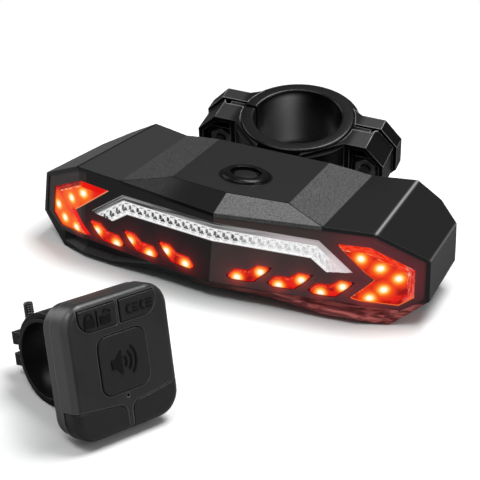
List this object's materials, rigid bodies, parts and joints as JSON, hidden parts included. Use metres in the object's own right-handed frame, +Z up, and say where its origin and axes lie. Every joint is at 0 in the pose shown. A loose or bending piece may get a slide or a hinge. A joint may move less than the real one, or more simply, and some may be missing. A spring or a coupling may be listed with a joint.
{
  "type": "bicycle brake light",
  "caption": "Winged bicycle brake and turn light with arrow and chevron lenses, seat-post clamp, and a strap-on handlebar remote.",
  "frame": {"origin": "middle of the lamp's flat underside, below its power button's centre line", "axes": "+Z up, +X to the right seen from the lens side, lenses towards -Y, seat post towards +Y"},
  "size_m": [0.1392, 0.2134, 0.046],
  "materials": {
    "housing": "moulded black nylon, fine satin grain",
    "mask": "smoked black acrylic mask, satin",
    "red_lens": "red transparent polycarbonate, lit from behind",
    "clear_lens": "clear polycarbonate with small prisms",
    "reflector": "white moulded light box",
    "circuit_board": "green coated fibreglass board",
    "light_emitter": "yellow phosphor lamps",
    "chip": "black moulded components",
    "button": "soft black rubber, satin",
    "rubber": "black rubber, matt",
    "cradle": "black moulded plastic",
    "cell_wrap": "blue shrink wrap",
    "steel": "zinc-plated steel",
    "black_bolt": "black oxide steel",
    "clamp": "glass-filled black nylon, satin grain",
    "remote_shell": "black moulded plastic, fine grain",
    "remote_key": "soft black rubber keys"
  },
  "bodies": {
    "lamp": {"housing_shell": "housing", "base_plate": "housing", "button_trim_ring": "housing", "front_bezel": "mask", "right_arrow_lens": "red_lens", "left_arrow_lens": "red_lens", "right_chevron_lens": "red_lens", "left_chevron_lens": "red_lens", "strip_lens": "clear_lens", "right_arrow_reflector": "reflector", "left_arrow_reflector": "reflector", "right_chevron_baffle": "reflector", "left_chevron_baffle": "reflector", "strip_reflector": "reflector", "right_arrow_board": "circuit_board", "left_arrow_board": "circuit_board", "right_inner_board": "circuit_board", "left_inner_board": "circuit_board", "main_board": "circuit_board", "arrow_leds": "light_emitter", "chevron_leds": "light_emitter", "strip_leds": "light_emitter", "board_chips": "chip", "power_switch": "chip", "siren": "chip", "base_seal": "rubber", "clamp_liner": "rubber", "battery_cradle": "cradle", "battery_cell": "cell_wrap", "base_screws": "steel", "board_to_mask_screws": "steel", "board_screws": "steel", "clamp_mount_screws": "steel", "usb_cover_pin": "steel", "usb_socket": "steel", "clamp_nuts": "black_bolt", "clamp_front_half": "clamp"},
    "rear_clamp": {"clamp_rear_half": "clamp"},
    "right_bolt": {"clamp_bolt_right": "black_bolt"},
    "left_bolt": {"clamp_bolt_left": "black_bolt"},
    "power_button": {"power_button": "button"},
    "usb_cover": {"usb_cover": "rubber"},
    "remote": {"remote_board": "circuit_board", "remote_status_led": "light_emitter", "remote_strap_pad": "rubber", "remote_screws": "steel", "remote_dome_switches": "steel", "remote_cell": "steel", "remote_cell_clip": "steel", "remote_strap_nut": "black_bolt", "remote_front_shell": "remote_shell", "remote_back_shell": "remote_shell", "remote_strap": "remote_shell"},
    "horn_button": {"remote_horn_button": "remote_key"},
    "lock_button": {"remote_lock_button": "remote_key"},
    "mode_button": {"remote_mode_button": "remote_key"},
    "left_turn_button": {"remote_left_turn_button": "remote_key"},
    "right_turn_button": {"remote_right_turn_button": "remote_key"},
    "strap_screw": {"remote_strap_screw": "black_bolt"}
  },
  "joints": [
    {"name": "power_press", "type": "slide", "parent": "lamp", "child": "power_button", "axis": [0, 0, -1], "range_m": [0, 0.0008], "stiffness_N_per_m": 400},
    {"name": "usb_cover_hinge", "type": "hinge", "parent": "lamp", "child": "usb_cover", "pos_m": [-0.02932, 0.02409, 0.01778], "axis": [0.9237, -0.383, 0], "range_deg": [0, 100]},
    {"name": "left_bolt_turn", "type": "hinge", "parent": "rear_clamp", "child": "left_bolt", "pos_m": [-0.028, 0.05716, 0.03075], "axis": [0, 0.9511, 0.309], "range_deg": [0, 1800]},
    {"name": "right_bolt_turn", "type": "hinge", "parent": "rear_clamp", "child": "right_bolt", "pos_m": [0.028, 0.05716, 0.03075], "axis": [0, 0.9511, 0.309], "range_deg": [0, 1800]},
    {"name": "clamp_slide", "type": "slide", "parent": "lamp", "child": "rear_clamp", "axis": [0, 0.9511, 0.309], "range_m": [0, 0.004]},
    {"name": "remote_lift", "type": "slide", "parent": "lamp", "child": "remote", "axis": [0, 0, 1], "range_m": [0, 0.1]},
    {"name": "horn_press", "type": "slide", "parent": "remote", "child": "horn_button", "axis": [-0.8653, 0.4072, -0.2924], "range_m": [0, 0.0006], "stiffness_N_per_m": 400},
    {"name": "lock_press", "type": "slide", "parent": "remote", "child": "lock_button", "axis": [-0.8653, 0.4072, -0.2924], "range_m": [0, 0.0006], "stiffness_N_per_m": 400},
    {"name": "mode_press", "type": "slide", "parent": "remote", "child": "mode_button", "axis": [-0.8653, 0.4072, -0.2924], "range_m": [0, 0.0006], "stiffness_N_per_m": 400},
    {"name": "left_turn_press", "type": "slide", "parent": "remote", "child": "left_turn_button", "axis": [-0.8653, 0.4072, -0.2924], "range_m": [0, 0.0006], "stiffness_N_per_m": 400},
    {"name": "right_turn_press", "type": "slide", "parent": "remote", "child": "right_turn_button", "axis": [-0.8653, 0.4072, -0.2924], "range_m": [0, 0.0006], "stiffness_N_per_m": 400},
    {"name": "strap_screw_turn", "type": "hinge", "parent": "remote", "child": "strap_screw", "pos_m": [-0.0256, -0.10575, 0.00873], "axis": [-0.2645, 0.1245, 0.9563], "range_deg": [0, 720]}
  ],
  "couplings": [
    {"joint": "left_bolt_turn", "follows": "clamp_slide", "rad_per_m": 7850},
    {"joint": "right_bolt_turn", "follows": "clamp_slide", "rad_per_m": 7850}
  ]
}
